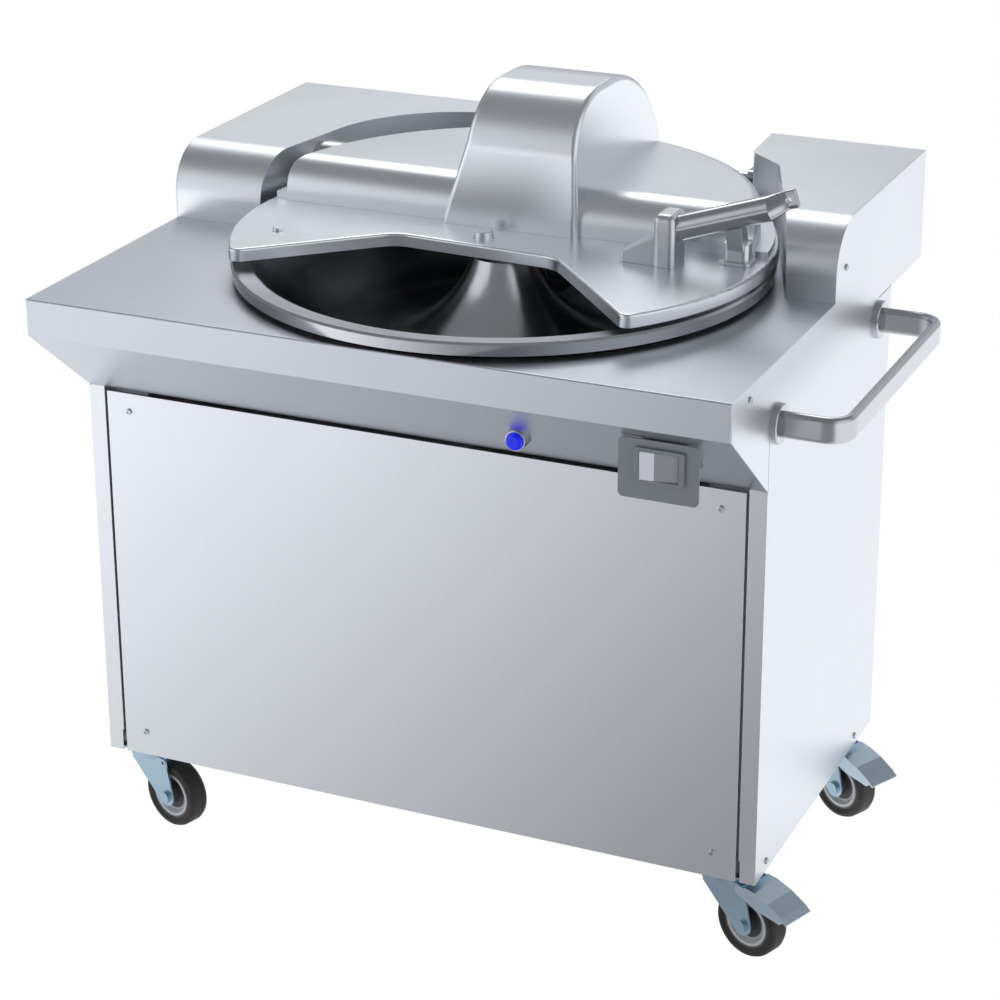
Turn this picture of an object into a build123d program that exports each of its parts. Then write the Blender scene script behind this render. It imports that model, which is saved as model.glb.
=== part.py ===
from build123d import *
import os
from math import atan2, cos, degrees, hypot, radians, sin, sqrt

# A mobile bowl cutter: a rotating annular bowl, a knife head on a horizontal shaft,
# a hinged lid, and a sheet-steel cabinet on four castors. Millimetres.
#
# The machine is laid out about the bowl axis at worktop level: X to the right, Y to the
# rear, Z up. On export everything is moved so that the origin is on the floor, in the
# middle of the overall width and depth.

# ---------------------------------------------------------------- driving dimensions
BODY_WIDTH = 1000.0
WORKTOP_HEIGHT = 865.0
BOWL_FROM_RIGHT = 464.0
LIP_TO_BOWL = 370.0
BOWL_TO_REAR = 449.0
LIP_TO_CABINET = 145.0
CABINET_DEPTH = 526.0
CASTOR_HEIGHT = 127.0
HANDLE_REACH = 90.0
SHEET = 2.0
DECK_SHEET = 2.5

RIGHT = BOWL_FROM_RIGHT
LEFT = RIGHT - BODY_WIDTH
MIDDLE = (LEFT + RIGHT) / 2
LIP_Y = -LIP_TO_BOWL
FRONT_Y = LIP_Y + LIP_TO_CABINET
REAR_Y = FRONT_Y + CABINET_DEPTH
HOOD_REAR_Y = BOWL_TO_REAR
FLOOR_Z = -WORKTOP_HEIGHT
TRAY_Z = FLOOR_Z + CASTOR_HEIGHT
SKIRT_Z = TRAY_Z - 2.5

RAIL_TOP_Z = TRAY_Z + 26

# worktop edge
LIP_DROP = 51.6
FASCIA_BOTTOM_Z = -170.0

# hoods behind the worktop
HOOD_FRONT_Y = 35.0
HOOD_TOP_Z = 104.0
HOOD_BOTTOM_Z = -55.0
HOOD_RADIUS = 68.0
LEFT_ARM_END = -190.0
RIGHT_ARM_END = 232.0

# front posts and panels
POST_WIDTH = 22.0
PANEL_GAP = 6.0
PANEL_RETURN = 14.0
SCREW_INSET = 62.0
TRAY_WALL = 30.0
SCREW_HEAD_RADIUS = 4.6
SCREW_SHANK_RADIUS = 2.5
SCREW_HEAD_HEIGHT = 2.6

# bowl and knives
RIM_RADIUS = 374.0
RIM_INNER_RADIUS = 343.0
RIM_TOP_Z = 24.0
RIM_BOTTOM_Z = 6.0
BOWL_WALL = 4.0
CHANNEL_RADIUS = 147.0
HUMP_TOP_Z = 30.0
KNIFE_RADIUS = 140.0
KNIFE_Y = 185.0
KNIFE_Z = 62.0
KNIFE_SHAFT_RADIUS = 15.0
SPINDLE_RADIUS = 20.0
RUNNING_CLEARANCE = 0.05
BODY_GAP = 0.3

# lid
LID_RADIUS = 376.0
LID_BOTTOM_Z = 32.0
LID_TOP_Z = 50.0
COVER_RADIUS = 350.0
COVER_TOP_Z = 110.0
COVER_FRONT_Y = 28.0
COVER_FILLET = 46.0
COVER_WALL = 3.0
LID_WALL = 4.0
LID_CORNER = 14.0
LID_EDGE = 3.5
HOOD_NOSE_Y = 16.0
HOOD_CROWN_Z = 243.0
HOOD_NOSE_RADIUS = 84.0
HOOD_BACK_Y = 148.0
HOOD_BACK_RADIUS = 204.0
HOOD_EDGE_RADIUS = 8.0
HINGE_Y = 405.0
HINGE_Z = 44.0
HINGE_RADIUS = 10.0
KNUCKLE_RADIUS = 16.5
ARM_X = (-130.0, 110.0)

# drive
PULLEY_X = LEFT + 36.0
PULLEY_WIDTH = 36.0
KNIFE_PULLEY_RADIUS = 32.0
MOTOR_PULLEY_RADIUS = 48.0
MOTOR_Z = TRAY_Z + 175.0
BELT_THICKNESS = 5.0
SLEEVE_RADIUS = 34.0

# lid handle: a flattened tube held in a clamp block and on a small stand
GRIP_START = (252.0, -32.0, 96.0)
GRIP_END = (390.0, -24.4, 140.5)
GRIP_RADIUS = 17.5
COLLAR_X = (238.0, 268.0)

# switch on the front lip, button on the inclined fascia
SWITCH_X = 362.0
SWITCH_WIDTH = 107.0
SWITCH_PLATE = 3.0
SWITCH_Y = LIP_Y + 21.0
SWITCH_TOP_Z = -72.0
SWITCH_HEIGHT = 80.0
ROCKER_X = SWITCH_X + 2.0
ROCKER_Z = SWITCH_TOP_Z - 33.0
ROCKER_WIDTH = 52.0
ROCKER_HEIGHT = 37.0
HOUSING_WIDTH = 62.0
HOUSING_HEIGHT = 43.0
HOUSING_DEPTH = 128.0
BUTTON_X = RIGHT - 316.4
BUTTON_Y = LIP_Y + 69.0
BUTTON_Z = -122.5
BUTTON_RING_RADIUS = 14.0
BUTTON_RING_DEPTH = 46.0
BUTTON_CAP_RADIUS = 12.0
BUTTON_CAP_DEPTH = 16.0
BUTTON_PROUD = 6.0

# push handle
HANDLE_Z = -86.0
HANDLE_Y = (-197.0, 240.0)
HANDLE_CORNER = 30.0
HANDLE_THICK = 14.0
HANDLE_TALL = 36.0
FLANGE_RADIUS = 27.0
FLANGE_THICK = 8.0

# bowl drive, cable gland
CARRIER_TOP_Z = -190.0
BOWL_BOX_Z = CARRIER_TOP_Z - 70.0
GLAND_X = 300.0
GLAND_Z = -640.0
GLAND_BORE_RADIUS = 9.0

# castors
WHEEL_RADIUS = 50.0
WHEEL_WIDTH = 32.0
CASTOR_TRAIL = 38.0
AXLE_RADIUS = 6.0
BOLT_RADIUS = 4.2
BOLT_OFFSETS = [(dx, dy) for dx in (-40, 40) for dy in (-28, 28)]
PEDAL_PIVOT = (34.0, 104.0)
PIVOT_RADIUS = 2.5
CASTORS = {
    "front_left": (LEFT + 50, FRONT_Y + 49, -17.0, False),
    "front_right": (RIGHT - 50, FRONT_Y + 49, -20.0, True),
    "rear_left": (LEFT + 50, REAR_Y - 51, -14.0, False),
    "rear_right": (RIGHT - 50, REAR_Y - 51, -26.0, True),
}

nodes = {}


# ---------------------------------------------------------------- helpers
def box(x0, x1, y0, y1, z0, z1):
    """A block between two corners."""
    middle = Pos((x0 + x1) / 2, (y0 + y1) / 2, (z0 + z1) / 2)
    return middle * Box(x1 - x0, y1 - y0, z1 - z0)


def across(sketch, x0, x1):
    """Extrude a sketch drawn in (y, z) from x0 to x1."""
    return extrude(Plane.YZ.offset(x0) * sketch, x1 - x0)


def upward(sketch, z0, z1):
    """Extrude a sketch drawn in (x, y) from z0 to z1."""
    return extrude(Plane.XY.offset(z0) * sketch, z1 - z0)


def rod_x(radius, x0, x1, y, z):
    """A cylinder along X."""
    return across(Pos(y, z) * Circle(radius), x0, x1)


def rod_y(radius, y0, y1, x, z):
    """A cylinder along Y."""
    return Pos(x, (y0 + y1) / 2, z) * Rot(90, 0, 0) * Cylinder(radius, y1 - y0)


def rod_z(radius, z0, z1, x=0.0, y=0.0):
    """A cylinder along Z."""
    return Pos(x, y, (z0 + z1) / 2) * Cylinder(radius, z1 - z0)


def outline(*points):
    """A filled polygon."""
    return make_face(Polyline(*points, close=True))


def group(solids):
    """Separate solids in one node."""
    return Compound(children=list(solids))


def mirrored(shape):
    """The same shape on the other side of the body's middle plane."""
    return mirror(shape, Plane.YZ.offset(MIDDLE))


# ---------------------------------------------------------------- side panels
def side_outline():
    """The side of the machine: worktop edge, cabinet and hood in one sheet."""
    points = [
        (LIP_Y, 0), (LIP_Y, -LIP_DROP), (FRONT_Y, FASCIA_BOTTOM_Z), (FRONT_Y, SKIRT_Z),
        (REAR_Y, SKIRT_Z), (REAR_Y, HOOD_BOTTOM_Z), (HOOD_REAR_Y, HOOD_BOTTOM_Z),
        (HOOD_REAR_Y, HOOD_TOP_Z), (HOOD_FRONT_Y, HOOD_TOP_Z), (HOOD_FRONT_Y, 0),
    ]
    face = outline(*points)
    corner = face.vertices().sort_by_distance((HOOD_FRONT_Y, HOOD_TOP_Z))[0]
    return fillet(corner, HOOD_RADIUS)


def side_screw_places():
    """Screw centres (y, z) on a side panel."""
    return [(-306, -17), (77, 39), (218, -725.5), (-180, -725.5)]


def side_panel():
    """Right side sheet with its front post, the stepped flange behind it, a rear flange,
    and the two slits where the folded upper edge was relieved."""
    sheet = across(side_outline(), RIGHT - SHEET, RIGHT)
    post = box(RIGHT - POST_WIDTH, RIGHT - SHEET, FRONT_Y, FRONT_Y + SHEET, SKIRT_Z, FASCIA_BOTTOM_Z)
    step_x = RIGHT - POST_WIDTH
    foot_z = TRAY_Z + TRAY_WALL
    step = box(step_x - SHEET, step_x, FRONT_Y, FRONT_Y + 20, foot_z, FASCIA_BOTTOM_Z)
    flange = box(step_x - 62, step_x - SHEET, FRONT_Y + 18, FRONT_Y + 20, foot_z, FASCIA_BOTTOM_Z)
    rear = box(RIGHT - 30, RIGHT - SHEET, REAR_Y - SHEET, REAR_Y, SKIRT_Z, HOOD_BOTTOM_Z)
    panel = sheet + post + step + flange + rear
    slit_z = FASCIA_BOTTOM_Z + 80
    panel -= box(RIGHT - SHEET, RIGHT, FRONT_Y, FRONT_Y + 1.6, FASCIA_BOTTOM_Z - 1, slit_z)
    panel -= box(RIGHT - SHEET, RIGHT, 240, REAR_Y + 1, HOOD_BOTTOM_Z, HOOD_BOTTOM_Z + 1.2)
    for y, z in side_screw_places():
        panel -= rod_x(SCREW_SHANK_RADIUS, RIGHT - SHEET, RIGHT, y, z)
    for z in panel_screw_heights():
        panel -= rod_y(SCREW_SHANK_RADIUS, FRONT_Y + 18, FRONT_Y + 20, RIGHT - SCREW_INSET, z)
    for z in rear_screw_heights():
        panel -= rod_y(SCREW_SHANK_RADIUS, REAR_Y - SHEET, REAR_Y, RIGHT - 16, z)
    return panel


def panel_screw_heights():
    return [-203.0, -704.0]


def rear_screw_heights():
    return [-120.0, -400.0, -680.0]


# ---------------------------------------------------------------- worktop
def worktop():
    """One bent sheet: deck, front lip, inclined fascia, and the rear overhang, with the
    round opening for the bowl, the belt slot, and stiffening side flanges."""
    t = DECK_SHEET
    slope = atan2(-LIP_DROP - FASCIA_BOTTOM_Z, LIP_TO_CABINET)
    back = t / sin(slope)
    lip_inner_z = -LIP_DROP + t * (1 - cos(slope)) / sin(slope)
    fascia_end = (FRONT_Y, FASCIA_BOTTOM_Z)
    sheet = outline(
        (LIP_Y, 0), (LIP_Y, -LIP_DROP), fascia_end,
        (FRONT_Y + 12, FASCIA_BOTTOM_Z), (FRONT_Y + 12, FASCIA_BOTTOM_Z + t),
        (FRONT_Y + back - t, FASCIA_BOTTOM_Z + t), (LIP_Y + t, lip_inner_z), (LIP_Y + t, -t),
        (HOOD_REAR_Y - t, -t), (HOOD_REAR_Y - t, HOOD_BOTTOM_Z + t), (REAR_Y, HOOD_BOTTOM_Z + t),
        (REAR_Y, HOOD_BOTTOM_Z), (HOOD_REAR_Y, HOOD_BOTTOM_Z), (HOOD_REAR_Y, 0),
    )
    lip_edge = sheet.vertices().sort_by_distance((LIP_Y, 0))[0]
    sheet = fillet(lip_edge, 2.4)
    deck = across(sheet, LEFT + SHEET, RIGHT - SHEET)
    for x0, x1 in ((LEFT + SHEET, LEFT + SHEET + t), (RIGHT - SHEET - t, RIGHT - SHEET)):
        deck += box(x0, x1, LIP_Y + 20, HOOD_FRONT_Y, -30, -t)
    deck -= rod_z(RIM_RADIUS - 12, -10, 10)
    deck -= box(PULLEY_X - 24, PULLEY_X + 24, KNIFE_Y - 62, KNIFE_Y + 62, -10, 10)
    deck -= switch_cutout()
    deck -= rod_y(BUTTON_RING_RADIUS, BUTTON_Y - 20, BUTTON_Y + BUTTON_RING_DEPTH, BUTTON_X, BUTTON_Z)
    for y, z in side_screw_places()[:1]:
        deck -= rod_x(SCREW_SHANK_RADIUS, LEFT, LEFT + 8, y, z)
        deck -= rod_x(SCREW_SHANK_RADIUS, RIGHT - 8, RIGHT, y, z)
    return deck


# ---------------------------------------------------------------- hoods
def hood_profile(inset):
    """The hood seen from the side, drawn in (y, z), with its rounded front."""
    face = outline(
        (HOOD_FRONT_Y + inset, 0), (HOOD_FRONT_Y + inset, HOOD_TOP_Z - inset),
        (HOOD_REAR_Y - inset, HOOD_TOP_Z - inset), (HOOD_REAR_Y - inset, 0),
    )
    corner = face.vertices().sort_by_distance((HOOD_FRONT_Y, HOOD_TOP_Z))[0]
    return fillet(corner, HOOD_RADIUS - inset)


def left_hood_plan():
    """Plan of the long left arm, with its wall following the lid."""
    wall = [(-397, HOOD_FRONT_Y), (-364, 227)]
    bend = ThreePointArc((-364, 227), (-314, 328), (-222, 386))
    edges = [
        Line((LEFT + SHEET, HOOD_FRONT_Y), wall[0]), Line(wall[0], wall[1]), bend,
        Line((-222, 386), (LEFT_ARM_END, 396)), Line((LEFT_ARM_END, 396), (LEFT_ARM_END, HOOD_REAR_Y)),
        Line((LEFT_ARM_END, HOOD_REAR_Y), (LEFT + SHEET, HOOD_REAR_Y)),
        Line((LEFT + SHEET, HOOD_REAR_Y), (LEFT + SHEET, HOOD_FRONT_Y)),
    ]
    return make_face(Wire(edges))


def right_hood_plan():
    """Plan of the short right arm, with its flat wall and rounded corners."""
    face = outline(
        (RIGHT - SHEET, HOOD_FRONT_Y), (394, HOOD_FRONT_Y), (296, 293), (239, 343),
        (RIGHT_ARM_END, HOOD_REAR_Y), (RIGHT - SHEET, HOOD_REAR_Y),
    )
    for place, radius in (((296, 293), 24), ((239, 343), 16)):
        corner = face.vertices().sort_by_distance(place)[0]
        face = fillet(corner, radius)
    return face


def hood(plan, side_x):
    """A hood as a 2 mm shell, open to the side panel and to the deck below."""
    low = -5
    high = HOOD_TOP_Z + 5
    profile = across(hood_profile(0), LEFT, RIGHT)
    shell = upward(plan, low, high) & profile
    inner_plan = offset(plan, -SHEET, kind=Kind.INTERSECTION)
    toward_side = 10 if side_x > 0 else -10
    inner = upward(inner_plan, low, high) + Pos(toward_side, 0, 0) * upward(inner_plan, low, high)
    inner &= across(hood_profile(SHEET), LEFT - 20, RIGHT + 20)
    shell -= inner
    lug_x = (side_x - SHEET - 3, side_x - SHEET) if side_x > 0 else (side_x + SHEET, side_x + SHEET + 3)
    lug = box(lug_x[0], lug_x[1], HOOD_FRONT_Y + SHEET, 92, 24, 54)
    y, z = side_screw_places()[1]
    lug -= rod_x(SCREW_SHANK_RADIUS, lug_x[0] - 1, lug_x[1] + 1, y, z)
    return shell + lug


# ---------------------------------------------------------------- panels and screws
def screw(shank=22.0):
    """A pan-head screw with a hexagon socket, its head above the origin, shank down -Z."""
    head = rod_z(SCREW_HEAD_RADIUS, 0, SCREW_HEAD_HEIGHT)
    head = fillet(head.edges().sort_by(Axis.Z)[-1], 1.4)
    head -= Pos(0, 0, SCREW_HEAD_HEIGHT - 1.4) * extrude(RegularPolygon(1.9, 6), 2)
    return head + Pos(0, 0, -shank / 2) * Cylinder(SCREW_SHANK_RADIUS, shank)


def front_panel():
    """Front sheet with folded edges and four screw holes."""
    x0 = LEFT + POST_WIDTH + PANEL_GAP
    x1 = RIGHT - POST_WIDTH - PANEL_GAP
    z0 = SKIRT_Z
    z1 = FASCIA_BOTTOM_Z - PANEL_GAP
    fold_z = TRAY_Z + BODY_GAP
    sheet = box(x0, x1, FRONT_Y, FRONT_Y + PANEL_RETURN, fold_z, z1)
    sheet -= box(x0 + SHEET, x1 - SHEET, FRONT_Y + SHEET, FRONT_Y + PANEL_RETURN, fold_z + SHEET, z1 - SHEET)
    sheet += box(x0, x1, FRONT_Y, FRONT_Y + SHEET, z0, fold_z)
    for x in (LEFT + SCREW_INSET, RIGHT - SCREW_INSET):
        for z in panel_screw_heights():
            sheet -= rod_y(SCREW_SHANK_RADIUS, FRONT_Y - 1, FRONT_Y + 5, x, z)
    return sheet


def rear_panel():
    """Rear sheet over the side flanges, with cooling slots and a hole for the cable gland."""
    sheet = box(LEFT + 1, RIGHT - 1, REAR_Y, REAR_Y + SHEET, SKIRT_Z, HOOD_BOTTOM_Z - 2)
    for row in range(2):
        for column in range(9):
            x = -180 + 45 * column
            z = -560 + 120 * row
            slot = Pos(x, REAR_Y, z) * Rot(90, 0, 0) * extrude(SlotOverall(80, 8, rotation=90), 10, both=True)
            sheet -= slot
    sheet -= rod_y(GLAND_BORE_RADIUS + 3, REAR_Y - 5, REAR_Y + 5, GLAND_X, GLAND_Z)
    for x in (LEFT + 16, RIGHT - 16):
        for z in rear_screw_heights():
            sheet -= rod_y(SCREW_SHANK_RADIUS, REAR_Y - 5, REAR_Y + 5, x, z)
    return sheet


def panel_screws():
    """All the cabinet's screws."""
    screws = []
    for x in (LEFT + SCREW_INSET, RIGHT - SCREW_INSET):
        for z in panel_screw_heights():
            screws.append(Pos(x, FRONT_Y, z) * Rot(90, 0, 0) * screw())
    for x in (LEFT + 16, RIGHT - 16):
        for z in rear_screw_heights():
            screws.append(Pos(x, REAR_Y + SHEET, z) * Rot(-90, 0, 0) * screw(shank=8))
    for y, z in side_screw_places():
        screws.append(Pos(RIGHT, y, z) * Rot(0, 90, 0) * screw(shank=8))
        screws.append(Pos(LEFT, y, z) * Rot(0, -90, 0) * screw(shank=8))
    return group(screws)


# ---------------------------------------------------------------- base tray
def base_tray():
    """Folded floor tray with two rails for the motor and pads over the castors."""
    x0 = LEFT + SHEET
    x1 = RIGHT - SHEET
    y0 = FRONT_Y + PANEL_RETURN + 1
    y1 = REAR_Y - SHEET
    tray = box(x0, x1, y0, y1, TRAY_Z, TRAY_Z + TRAY_WALL)
    tray -= box(x0 + 3, x1 - 3, y0 + 3, y1 - 3, TRAY_Z + 3, TRAY_Z + TRAY_WALL)
    for x in (-400.0, -240.0):
        rail = box(x - 20, x + 20, y0 + 3, y1 - 3, TRAY_Z + 3, RAIL_TOP_Z)
        rail -= box(x - 17, x + 17, y0 + 3, y1 - 3, TRAY_Z + 3, RAIL_TOP_Z - 3)
        tray += rail
    for x, y, _heading, _brake in CASTORS.values():
        for dx, dy in BOLT_OFFSETS:
            tray -= rod_z(BOLT_RADIUS, TRAY_Z, TRAY_Z + 3, x + dx, y + dy)
    for y, z in side_screw_places()[2:]:
        tray -= rod_x(SCREW_SHANK_RADIUS, LEFT, LEFT + 8, y, z)
        tray -= rod_x(SCREW_SHANK_RADIUS, RIGHT - 8, RIGHT, y, z)
    return tray


# ---------------------------------------------------------------- bowl
def bowl():
    """Spun annular bowl: a channel swept round the axis, a central hump, and a heavy rim."""
    centre = (KNIFE_Y, KNIFE_Z)
    rim_point = (RIM_INNER_RADIUS + BOWL_WALL / 2, RIM_TOP_Z - 4)
    radius = CHANNEL_RADIUS + BOWL_WALL / 2
    away = hypot(rim_point[0] - centre[0], rim_point[1] - centre[1])
    toward = degrees(atan2(rim_point[1] - centre[1], rim_point[0] - centre[0]))
    start = toward - degrees(atan2(sqrt(away ** 2 - radius ** 2), radius))
    end = -180 + 16
    def on_arc(angle):
        return (centre[0] + radius * cos(radians(angle)), centre[1] + radius * sin(radians(angle)))
    wall = Line(rim_point, on_arc(start))
    channel = ThreePointArc(on_arc(start), on_arc((start + end) / 2), on_arc(end))
    hump_top = HUMP_TOP_Z - BOWL_WALL / 2
    hump = Line(on_arc(end), (on_arc(end)[0] - 6, hump_top))
    sheet = trace(Wire([wall, channel, hump]), BOWL_WALL)
    crown = outline((9, hump_top - 2), (on_arc(end)[0] - 4, hump_top - 2),
                    (on_arc(end)[0] - 6, hump_top + 2), (9, hump_top + 2))
    rim = outline(
        (RIM_INNER_RADIUS, RIM_TOP_Z - 5), (RIM_INNER_RADIUS + 3, RIM_TOP_Z - 2),
        (RIM_RADIUS - 3, RIM_TOP_Z), (RIM_RADIUS, RIM_TOP_Z - 3), (RIM_RADIUS - 2, RIM_BOTTOM_Z),
        (RIM_RADIUS - 5, RIM_BOTTOM_Z), (RIM_RADIUS - 6, RIM_TOP_Z - 8), (RIM_INNER_RADIUS + 5, RIM_TOP_Z - 9),
    )
    section = sheet + crown + rim
    return revolve(Plane.XZ * section, Axis.Z)


def bowl_nut():
    """Domed nut that clamps the bowl to its spindle."""
    dome = rod_z(22, HUMP_TOP_Z, HUMP_TOP_Z + 12)
    dome = fillet(dome.edges().sort_by(Axis.Z)[-1], 7)
    return dome


def bowl_spindle():
    """Vertical spindle with the flange the bowl sits on and a stud through the hump."""
    hump_under = HUMP_TOP_Z - BOWL_WALL
    shaft = rod_z(SPINDLE_RADIUS, BOWL_BOX_Z - 20, hump_under - 10)
    flange = rod_z(28, hump_under - 10, hump_under)
    stud = rod_z(9, hump_under, HUMP_TOP_Z)
    return shaft + flange + stud


def bowl_bearing_housing():
    """Flanged housing with a bore for the spindle."""
    tube = rod_z(38, CARRIER_TOP_Z, -103)
    foot = rod_z(62, CARRIER_TOP_Z, CARRIER_TOP_Z + 12)
    return tube + foot - rod_z(SPINDLE_RADIUS + RUNNING_CLEARANCE, CARRIER_TOP_Z - 1, -100)


def bowl_carrier():
    """Folded channel beam across the cabinet that carries the bowl drive."""
    beam = box(LEFT + SHEET, RIGHT - SHEET, -70, 70, CARRIER_TOP_Z - 40, CARRIER_TOP_Z)
    beam -= box(LEFT + SHEET, RIGHT - SHEET, -66, 66, CARRIER_TOP_Z - 40, CARRIER_TOP_Z - 4)
    return beam - rod_z(30, CARRIER_TOP_Z - 10, CARRIER_TOP_Z + 1)


def bowl_gearmotor():
    """Worm gearbox under the beam with its motor lying to the right."""
    case = box(-60, 60, -60, 60, BOWL_BOX_Z - 40, CARRIER_TOP_Z - 4)
    case = fillet(case.edges().filter_by(Axis.Z), 12)
    case += rod_x(46, 60, 90, 0, BOWL_BOX_Z)
    case += rod_x(58, 90, 260, 0, BOWL_BOX_Z)
    case += rod_x(52, 260, 290, 0, BOWL_BOX_Z)
    return case - rod_z(SPINDLE_RADIUS + RUNNING_CLEARANCE, BOWL_BOX_Z - 22, CARRIER_TOP_Z)


# ---------------------------------------------------------------- knife head
def knife_shaft():
    """Knife shaft from the pulley to the head, with a shoulder behind the knives."""
    shaft = rod_x(KNIFE_SHAFT_RADIUS, PULLEY_X - 18, 52, KNIFE_Y, KNIFE_Z)
    return shaft + rod_x(26, -52, -32, KNIFE_Y, KNIFE_Z)


def knife_sleeve():
    """Bearing tube that carries the shaft over the bowl, with its foot on the deck."""
    tube = rod_x(SLEEVE_RADIUS, -474, -56, KNIFE_Y, KNIFE_Z)
    foot = box(-470, -404, KNIFE_Y - 50, KNIFE_Y + 50, 0, 14) + box(
        -460, -414, KNIFE_Y - 30, KNIFE_Y + 30, 14, KNIFE_Z - 10)
    bore = rod_x(KNIFE_SHAFT_RADIUS + 6, -480, -50, KNIFE_Y, KNIFE_Z)
    seats = rod_x(26, -474, -458, KNIFE_Y, KNIFE_Z) + rod_x(26, -72, -56, KNIFE_Y, KNIFE_Z)
    return tube + foot - bore - seats


def knife_bearings():
    """The two shaft bearings in the ends of the sleeve."""
    rings = []
    for x0 in (-474, -72):
        ring = rod_x(26, x0, x0 + 16, KNIFE_Y, KNIFE_Z)
        ring -= rod_x(KNIFE_SHAFT_RADIUS + RUNNING_CLEARANCE, x0 - 1, x0 + 17, KNIFE_Y, KNIFE_Z)
        rings.append(ring)
    return group(rings)


def knife_pulley():
    """Belt pulley with side flanges."""
    half = PULLEY_WIDTH / 2
    wheel = rod_x(KNIFE_PULLEY_RADIUS, PULLEY_X - half, PULLEY_X + half, KNIFE_Y, KNIFE_Z)
    return wheel - rod_x(KNIFE_SHAFT_RADIUS, PULLEY_X - half - 1, PULLEY_X + half + 1, KNIFE_Y, KNIFE_Z)


def sickle_outline():
    """One sickle knife about its shaft, drawn in the knife's own plane: a hub eye and a
    blade whose back sweeps to the tip and whose cutting edge curves ahead of it."""
    tip_angle = radians(35)
    tip = (KNIFE_RADIUS * cos(tip_angle), KNIFE_RADIUS * sin(tip_angle))
    edge = ThreePointArc((30, -12), (104, -24), tip)
    back = ThreePointArc(tip, (70, 52), (-4, 32))
    root = Line((-4, 32), (30, -12))
    return make_face(Wire([edge, back, root])) + Circle(32)


def knives():
    """Three sickle knives side by side, turned by a third of a turn each."""
    blades = []
    for number in range(3):
        blade = Rot(0, 0, 120 * number) * sickle_outline() - Circle(KNIFE_SHAFT_RADIUS)
        x = -32 + 22 * number + 4
        blades.append(across(Pos(KNIFE_Y, KNIFE_Z) * blade, x, x + 4))
    return group(blades)


def knife_spacers():
    """Spacer rings between and outside the knives."""
    rings = []
    edges = [(-32, -28), (-24, -6), (-2, 16), (20, 34)]
    for x0, x1 in edges:
        ring = rod_x(26, x0, x1, KNIFE_Y, KNIFE_Z)
        rings.append(ring - rod_x(KNIFE_SHAFT_RADIUS, x0 - 1, x1 + 1, KNIFE_Y, KNIFE_Z))
    return group(rings)


def knife_nut():
    """Hexagon clamp nut on the end of the shaft."""
    body = across(Pos(KNIFE_Y, KNIFE_Z) * RegularPolygon(27, 6), 34, 52)
    return body - rod_x(KNIFE_SHAFT_RADIUS, 30, 60, KNIFE_Y, KNIFE_Z)


# ---------------------------------------------------------------- main drive
def main_motor():
    """Foot-mounted motor with end bells, fan cowl and terminal box."""
    body = rod_x(98, -440, -190, KNIFE_Y, MOTOR_Z) + rod_x(84, -462, -170, KNIFE_Y, MOTOR_Z)
    fins = [rod_x(103, x, x + 3, KNIFE_Y, MOTOR_Z) for x in range(-420, -220, 12)]
    for fin in fins:
        body += fin
    body += box(-420, -220, KNIFE_Y - 70, KNIFE_Y - 40, RAIL_TOP_Z, MOTOR_Z - 60)
    body += box(-420, -220, KNIFE_Y + 40, KNIFE_Y + 70, RAIL_TOP_Z, MOTOR_Z - 60)
    body += box(-360, -280, KNIFE_Y - 40, KNIFE_Y + 40, MOTOR_Z + 90, MOTOR_Z + 140)
    return body - rod_x(14 + RUNNING_CLEARANCE, -470, -400, KNIFE_Y, MOTOR_Z)


def motor_pulley():
    """Belt pulley and the rotor stub it is keyed to."""
    half = PULLEY_WIDTH / 2
    wheel = rod_x(MOTOR_PULLEY_RADIUS, PULLEY_X - half, PULLEY_X + half, KNIFE_Y, MOTOR_Z)
    return wheel + rod_x(14, PULLEY_X + half, -402, KNIFE_Y, MOTOR_Z)


def belt_loop(growth):
    """The belt's line round both pulleys, drawn in (y, z)."""
    top = Pos(KNIFE_Y, KNIFE_Z) * Circle(KNIFE_PULLEY_RADIUS + growth)
    low = Pos(KNIFE_Y, MOTOR_Z) * Circle(MOTOR_PULLEY_RADIUS + growth)
    return make_hull((top.edges() + low.edges()))


def drive_belt():
    """Flat ribbed belt between the motor and the knife shaft."""
    band = belt_loop(BODY_GAP + BELT_THICKNESS) - belt_loop(BODY_GAP)
    return across(band, PULLEY_X - 14, PULLEY_X + 14)


# ---------------------------------------------------------------- lid
def opening_outline():
    """The charging opening at the front of the lid, with rounded corners."""
    corners = [(-345, -243), (-139, -52), (104, -65), (285, -267), (150, -520), (-345, -520)]
    face = outline(*corners)
    for place, radius in (((-139, -52), 46), ((104, -65), 50)):
        corner = face.vertices().sort_by_distance(place)[0]
        face = fillet(corner, radius)
    return face


def lid_plan(inset):
    """The lid plate in plan: a disc with the charging opening and the knife chamber."""
    opening = opening_outline() if inset == 0 else offset(opening_outline(), inset)
    chamber_radius = COVER_RADIUS - 12 + inset
    ahead = COVER_FRONT_Y + 6 - inset
    chamber = Circle(chamber_radius) & Pos(0, ahead + 400) * Rectangle(900, 800)
    plan = Circle(LID_RADIUS - inset) - opening - chamber
    for place in ((-307, -217), (276, -256)):
        corner = plan.vertices().sort_by_distance(place)[0]
        plan = fillet(corner, LID_CORNER - inset)
    return plan


def sleeve_notch():
    """Room for the fixed knife sleeve in the left edge of the lid."""
    width = 2 * (SLEEVE_RADIUS + 4)
    notch = box(-400, -220, KNIFE_Y - width / 2, KNIFE_Y + width / 2, 0, KNIFE_Z)
    return notch + rod_x(width / 2, -400, -220, KNIFE_Y, KNIFE_Z)


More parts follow.
